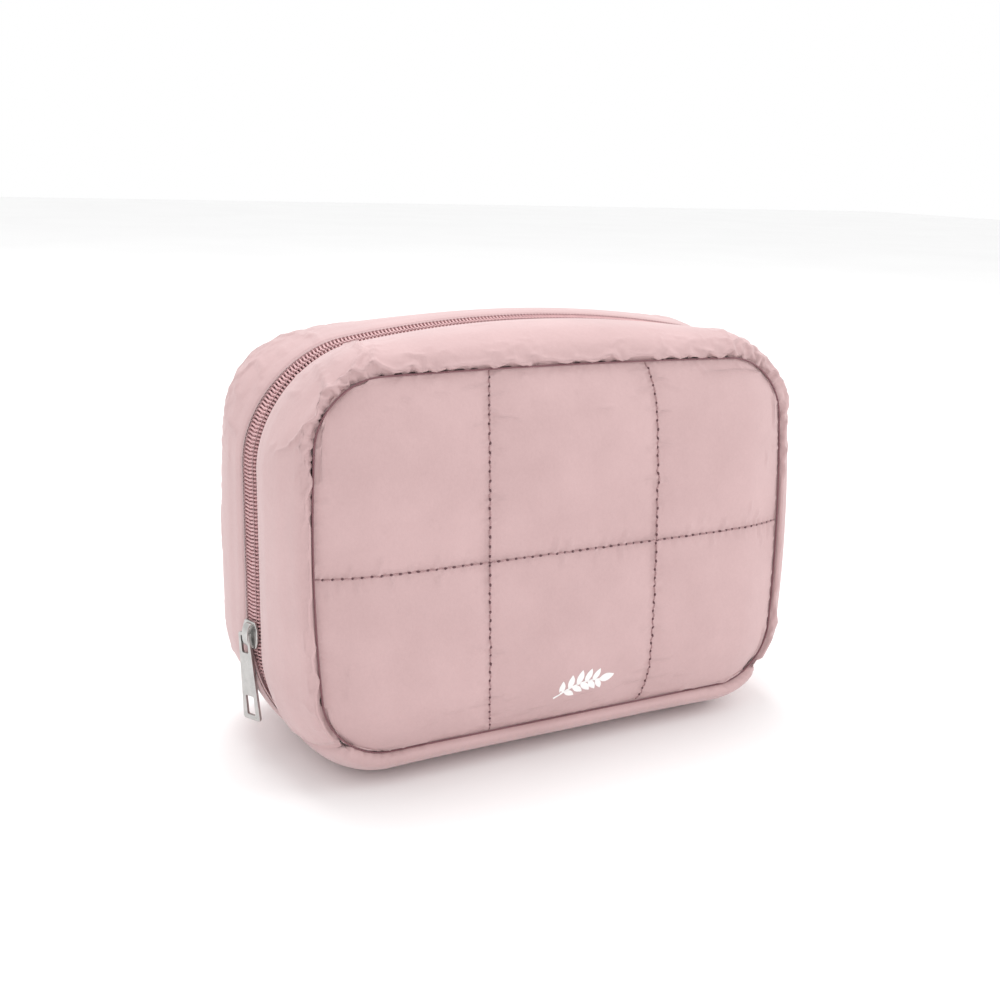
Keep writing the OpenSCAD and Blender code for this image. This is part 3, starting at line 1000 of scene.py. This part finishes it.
def make_binding(side):
    """The woven tape that binds the raw edges of the panel seam inside the bag."""
    x, z, nx, nz = SEAM_RING.T
    near_y, thick = PAD_T + 1.4, 1.0
    far_y = near_y + 6
    mid_y = near_y + 3
    section = [
        (near_y, 0), (mid_y, 0.15), (far_y, 0), (far_y + 0.2, thick / 2), (far_y, thick),
        (mid_y, thick + 0.1), (near_y, thick), (near_y - 0.2, thick / 2)]
    rows, cols = len(x), len(section)
    grid = np.stack([
        np.stack([x - (BINDING_IN + n) * nx, WAY[side] * (half_depth(z) - inward),
                  z - (BINDING_IN + n) * nz], 1)
        for inward, n in section], 1)
    faces = ring_faces(rows, cols, True)
    if side == "rear":
        faces = faces[:, ::-1]
    v = np.repeat(np.arange(rows) * 1.4, cols)
    u = np.tile(np.arange(cols) * 1.5, rows)
    obj = make_object(
        side + "_seam_tape", grid.reshape(-1, 3), faces.tolist(), np.stack([u, v], 1), BINDING)
    finish_piece(obj, side + "_shell", "lining", side + "_seam_binding")


# ------------ zip

COIL_PITCH = 1.5
WIRE_R = 0.42
SLIDER_Z = (SLIDER_BOX[0][2] + SLIDER_BOX[1][2]) / 2
ZIP_LENGTH = path_lengths(ZIP_SIDE[:, :2])


def on_zip(s):
    """x, z and outward x, z of the zip outline at lengths s along it."""
    cols = [np.interp(s, ZIP_LENGTH, ZIP_SIDE[:, k]) for k in range(4)]
    n = np.hypot(cols[2], cols[3])
    return cols[0], cols[1], cols[2] / n, cols[3] / n


def zip_points(s, y, n, side):
    """Points at length s, distance y from the middle and n outward, on one side of the zip."""
    x, z, nx, nz = on_zip(s)
    weight = mix(0.45, 1, nx ** 2)
    n = n + WAY[side] * weight * math.tan(ZIP_TURN) * np.minimum(y, FOLD_Y)
    return np.stack([x + n * nx, WAY[side] * y, z + n * nz], 1)


def zip_start(side):
    """Where the row's visible part starts, as a length along the zip on the left side."""
    left = ZIP_SIDE[:N_HALF + N_SIDE, 1]
    height = 19 if side == "front" else SLIDER_Z - 3
    return np.interp(height, left, ZIP_LENGTH[:len(left)])


def row_spread(s, side):
    """How far a row of coil stands away from the middle."""
    x, z, _, _ = on_zip(s)
    return np.where((x < 0) & (side == "front"), opening_spread(z), 0)


def make_coil(side):
    """One row of coil, wound as one wire, and the two lines of stitches that hold it."""
    start, end = zip_start(side), ZIP_LENGTH[-1] - 6
    turns = int((end - start) / COIL_PITCH)
    per_turn = 11
    t = np.arange(turns * per_turn + 1) / per_turn
    phase = 0.5 if side == "front" else 0.0
    s = start + t * COIL_PITCH
    angle = 2 * np.pi * (t + phase)
    y = 1.75 - 2.2 * np.cos(angle)
    n = -1.0 + 0.66 * np.clip(1.5 * np.sin(angle), -1, 1)
    s = s + 0.2 * np.sin(angle)
    path = zip_points(s, y + row_spread(s, side), n, side)
    obj = make_object(side + "_zip_teeth", *tube(path, WIRE_R, 6), material=COIL)
    finish_piece(obj, side + "_shell", "zip_coil", side + "_zip_coil")
    wave = np.arange(start + 1, end - 1, COIL_PITCH / 6)
    parts = []
    for at, level in ((2.9, 0.02), (4.55, -1.6)):
        lift = 0.16 * np.cos(2 * np.pi * ((wave - start) / COIL_PITCH + phase))
        path = zip_points(wave, at + row_spread(wave, side), level + lift, side)
        parts.append(tube(path, 0.26, 6))
    obj = make_object(side + "_zip_stitches", *join(parts), material=THREAD)
    finish_piece(obj, side + "_shell", "quilting_thread")


# The tape from under the coil to its hidden edge: distance from the middle, distance outward
TAPE_PROFILE = [
    (0.7, -2.0), (2.4, -2.05), (4.7, -2.05), (5.4, -2.9), (6.1, -4.0), (9, -5.3), (12.1, -6.4)]
TAPE_T = 0.5


def make_tape(side):
    """One side's woven tape, all along the zip."""
    s = np.linspace(0, ZIP_LENGTH[-1], 340)
    fine = np.array(TAPE_PROFILE)
    t = np.linspace(0, len(fine) - 1, 19)
    y = np.interp(t, np.arange(len(fine)), fine[:, 0])
    n = np.interp(t, np.arange(len(fine)), fine[:, 1])
    spread = row_spread(s, side)
    top, low = [
        np.stack([zip_points(s, yy + spread, nn - drop, side) for yy, nn in zip(y, n)], 1)
        for drop in (0, TAPE_T)]
    obj = closed_sheet(side + "_tape", top, low, TAPE)
    finish_piece(obj, side + "_shell", "zip_tape", side + "_zip_tape")


# ------------ slider and tab

def rounded(points, radii, steps=6):
    """A closed outline with its corners rounded, each by its own radius."""
    out = []
    n = len(points)
    for k in range(n):
        p = Vector(points[k])
        a = (Vector(points[k - 1]) - p).normalized()
        b = (Vector(points[(k + 1) % n]) - p).normalized()
        half = a.angle(b) / 2
        cut = radii[k] / math.tan(half)
        centre = p + (a + b).normalized() * radii[k] / math.sin(half)
        first, last = p + a * cut, p + b * cut
        start = first - centre
        turn = start.angle_signed(last - centre)
        for i in range(steps + 1):
            r = start.copy()
            r.rotate(Matrix.Rotation(-turn * i / steps, 2))
            out.append(centre + r)
    return out


def plate(name, loops, thickness, bevel):
    """A flat plate with rounded edges, in its own x, y plane, in millimetres."""
    curve = bpy.data.curves.new(name, "CURVE")
    curve.dimensions = "2D"
    curve.fill_mode = "BOTH"
    for loop in loops:
        spline = curve.splines.new("POLY")
        spline.points.add(len(loop) - 1)
        for point, at in zip(spline.points, loop):
            point.co = (at[0], at[1], 0, 1)
        spline.use_cyclic_u = True
    curve.extrude = thickness / 2 - bevel
    curve.bevel_depth = bevel
    curve.bevel_resolution = 3
    curve.offset = -bevel
    outline = bpy.data.objects.new(name, curve)
    show(outline)
    bpy.context.view_layer.update()
    graph = bpy.context.evaluated_depsgraph_get()
    mesh = bpy.data.meshes.new_from_object(outline.evaluated_get(graph))
    bpy.data.objects.remove(outline)
    bpy.data.curves.remove(curve)
    obj = bpy.data.objects.new(name, mesh)
    show(obj)
    return obj


def merge(name, objects, material):
    """One mesh object out of several."""
    bm = bmesh.new()
    for obj in objects:
        start = len(bm.verts)
        bm.from_mesh(obj.data)
        bm.verts.ensure_lookup_table()
        for v in bm.verts[start:]:
            v.co = obj.matrix_world @ v.co
        bpy.data.objects.remove(obj)
    bmesh.ops.remove_doubles(bm, verts=bm.verts, dist=1e-6)
    bmesh.ops.recalc_face_normals(bm, faces=bm.faces)
    mesh = bpy.data.meshes.new(name)
    bm.to_mesh(mesh)
    bm.free()
    for polygon in mesh.polygons:
        polygon.use_smooth = True
    mesh.materials.append(material)
    obj = bpy.data.objects.new(name, mesh)
    show(obj)
    weighted = obj.modifiers.new("even shading", "WEIGHTED_NORMAL")
    weighted.keep_sharp = True
    return obj


# The tab's axis, how far the tab leans in to the bag, hangs askew and turns to the front, and
# how far the slider turns
PIVOT = Vector((-119.4, 0, 51))
TAB_LEAN = math.radians(1.5)
TAB_TILT = math.radians(-4)
TAB_TURN = math.radians(26)
SLIDER_TURN = math.radians(21)


def place_flat(obj, axis, out, turn, lean=0.0, tilt=0.0):
    """Stands a plate upright, out from an axis along Z, facing -X and then turned towards -Y."""
    facing = Matrix(((0, 0, -1), (-1, 0, 0), (0, 1, 0))).to_4x4()
    way = (Matrix.Rotation(turn, 4, "Z") @ Matrix.Translation((-out * MM, 0, 0))
           @ Matrix.Rotation(-lean, 4, "Y") @ Matrix.Rotation(tilt, 4, "X"))
    obj.matrix_world = Matrix.Translation(axis * MM) @ way @ facing @ Matrix.Scale(MM, 4)


def tapered(half_top, top, half_low, low, radii, steps=6):
    """A rounded outline with straight sides, between two heights."""
    corners = [(-half_top, top), (half_top, top), (half_low, low), (-half_low, low)]
    return rounded(corners, radii, steps)


def make_tab():
    """The flat pull tab, with a slot for the slider's bridge and a window near its end."""
    outline = tapered(2.9, 1.0, 4.8, -36, [1.1, 1.1, 1.2, 1.2])
    slot = tapered(1.8, -0.4, 1.8, -7.5, [0.6] * 4, 4)
    window = tapered(2.3, -25.8, 2.3, -33.8, [0.5] * 4, 4)
    face = plate("tab_plate", [outline, slot, window], 1.3, 0.28)
    place_flat(face, PIVOT, 0, TAB_TURN, TAB_LEAN, TAB_TILT)
    bpy.context.view_layer.update()
    obj = merge("tab_plate", [face], METAL)
    finish_piece(obj, "tab", "slider_metal", "pull_tab")


def make_slider():
    """The slider's two plates and the post between them."""
    axis = Vector((-ZIP_HW, 0, SLIDER_Z))
    shield = rounded(
        [(-3.2, 5.5), (3.2, 5.5), (4.5, 2.6), (4.5, -2.4), (3.4, -5.5), (-3.4, -5.5), (-4.5, -2.4),
         (-4.5, 2.6)], [0.8, 0.8, 2, 2, 1.2, 1.2, 2, 2], 5)
    smaller = [(p[0] * 0.82, p[1] * 0.95) for p in shield]
    parts = []
    for name, outline, thickness, bevel, out in (
            ("outer", shield, 1.2, 0.35, 0.95), ("under", smaller, 1.0, 0.3, -3.75),
            ("post", tapered(0.9, 4.8, 0.6, 0.6, [0.3] * 4, 4), 4.1, 0.2, -1.45)):
        parts.append(plate("slider_" + name, [outline], thickness, bevel))
        place_flat(parts[-1], axis, out, SLIDER_TURN)
    bpy.context.view_layer.update()
    obj = merge("slider_plates", parts, METAL)
    finish_piece(obj, "slider", "slider_metal", "slider_body")
    make_crown(axis)


def make_crown(axis):
    """The arched bridge on the slider's outer plate, which the tab hangs from."""
    rise = np.linspace(0, np.pi, 33)
    out = 0.9 + 2.9 * np.sin(rise) ** 0.6
    up = 4.4 * np.cos(rise)
    a = np.linspace(0, 2 * np.pi, 20, endpoint=False)
    across = 1.7 * np.sign(np.cos(a)) * np.abs(np.cos(a)) ** 0.5
    thick = 0.5 * np.sign(np.sin(a)) * np.abs(np.sin(a)) ** 0.5
    slope = np.stack([np.gradient(out), np.gradient(up)], 1)
    slope /= np.linalg.norm(slope, axis=1, keepdims=True)
    o = out[:, None] + slope[:, 1:] * thick
    u = up[:, None] - slope[:, :1] * thick
    c, t = math.cos(SLIDER_TURN), math.sin(SLIDER_TURN)
    w = np.broadcast_to(across, o.shape)
    grid = np.stack([axis.x - o * c + w * t, -o * t - w * c, axis.z + u], 2)
    grid = grid.transpose(1, 0, 2)
    rows, cols = grid.shape[:2]
    faces = grid_faces(rows, cols, wrap=True)
    faces += [[k * cols for k in range(rows)], [k * cols + cols - 1 for k in range(rows)][::-1]]
    crown = make_object("slider_crown", grid.reshape(-1, 3), faces, material=METAL)
    finish_piece(crown, "slider", "slider_metal")


# ------------ printed mark

# x and z that the mark is drawn about
MARK_AT = (3.5, 29.7)


def strip(middle, half, across=7):
    """A flat shape about a middle line: points x, z and faces, with half its width at each point."""
    tangent = np.gradient(middle, axis=0)
    tangent /= np.linalg.norm(tangent, axis=1, keepdims=True)
    side = np.stack([-tangent[:, 1], tangent[:, 0]], 1)
    w = np.linspace(-1, 1, across)[None, :, None]
    grid = middle[:, None] + side[:, None] * w * half[:, None, None]
    return grid.reshape(-1, 2), grid_faces(len(middle), across)


def leaf(foot, angle, length, width, steps=21):
    """A slightly bent leaf that grows from its foot at an angle."""
    t = np.linspace(0, 1, steps + 1)
    bend = angle + 0.35 * (t - 0.5) * np.sign(math.sin(angle))
    step = np.stack([np.cos(bend), np.sin(bend)], 1) * length / steps
    middle = foot + np.cumsum(step, 0) - step[0]
    half = width / 2 * np.sin(np.pi * np.clip(t, 0.01, 0.99)) ** 0.75 * (1.15 - 0.3 * t)
    return strip(middle, half)


def make_mark(cloth):
    """A small printed sprig of leaves, laid on the draped front panel."""
    t = np.linspace(0, 1, 60)
    stem = np.stack([-13 + 21 * t, -3.6 + 5.4 * t + 2.2 * np.sin(np.pi * t)], 1) + MARK_AT
    parts = [strip(stem, 0.42 - 0.1 * t, 3), leaf(stem[-3], 0.12, 7.4, 3.7)]
    for k, at in enumerate((8, 18, 28, 38, 48)):
        way = math.atan2(*(stem[at + 1] - stem[at])[::-1])
        size = 1 - 0.06 * abs(k - 2)
        parts.append(leaf(stem[at], way + 0.95, 6.6 * size, 3.0 * size))
        parts.append(leaf(stem[at + 4], way - 0.95, 6.2 * size, 2.8 * size))
    flat, faces = join(parts)
    rows, cols = cloth.shape[:2]
    skin = BVHTree.FromPolygons(cloth.reshape(-1, 3).tolist(), grid_faces(rows, cols))
    points = []
    for x, z in flat:
        at, normal, _, _ = skin.ray_cast((x, -200, z), (0, 1, 0))
        points.append(at + normal * math.copysign(0.07, -normal.y))
    points = np.array(points)
    obj = make_object("printed_mark", points, faces, points[:, ::2], PRINT)
    finish_piece(obj, "front_shell", "nylon_cover")


# ------------ floor and light

def make_floor():
    s = Shader("floor", Roughness=0.9)
    place = s.place()
    tones = [(0.3, (0.93, 0.93, 0.93, 1)), (0.7, (0.95, 0.95, 0.95, 1))]
    s.drive("Base Color", s.ramp(s.noise(place, 3, 2), tones))
    size = 6000
    points = [(-size, -size, 0), (size, -size, 0), (size, size, 0), (-size, size, 0)]
    floor = make_object("floor", np.array(points, float), [[0, 1, 2, 3]], material=s.material)


def area_light(name, place, target, size, power):
    data = bpy.data.lights.new(name, "AREA")
    data.shape = "DISK"
    data.size = size
    data.energy = power
    obj = bpy.data.objects.new(name, data)
    obj.location = place
    obj.rotation_euler = (Vector(target) - Vector(place)).to_track_quat("-Z", "Y").to_euler()
    show(obj)


def make_light():
    world = bpy.data.worlds.new("studio")
    world.use_nodes = True
    background = world.node_tree.nodes["Background"]
    background.inputs["Color"].default_value = (1, 1, 1, 1)
    background.inputs["Strength"].default_value = 1.0
    bpy.context.scene.world = world
    area_light("key", (1.4, -0.7, 1.0), (0, 0, 0.08), 0.9, 5.6)
    area_light("top", (0.0, 0.5, 1.7), (0, 0, 0.1), 1.0, 15)
    bpy.context.scene.view_settings.view_transform = "Standard"


# ------------ build

make_floor()
make_light()
for side, edge, seed in (("front", front_edge(), 3), ("rear", rear_edge(), 5)):
    panel = draped_panel(seed)
    make_panel(side, panel)
    if side == "front":
        make_mark(panel)
    make_gusset(side, draped_gusset(side, edge, seed + 20), edge)
    make_seam_line_and_shade(side)
    make_binding(side)
    make_coil(side)
    make_tape(side)
make_base(draped_base(31))
make_slider()
make_tab()
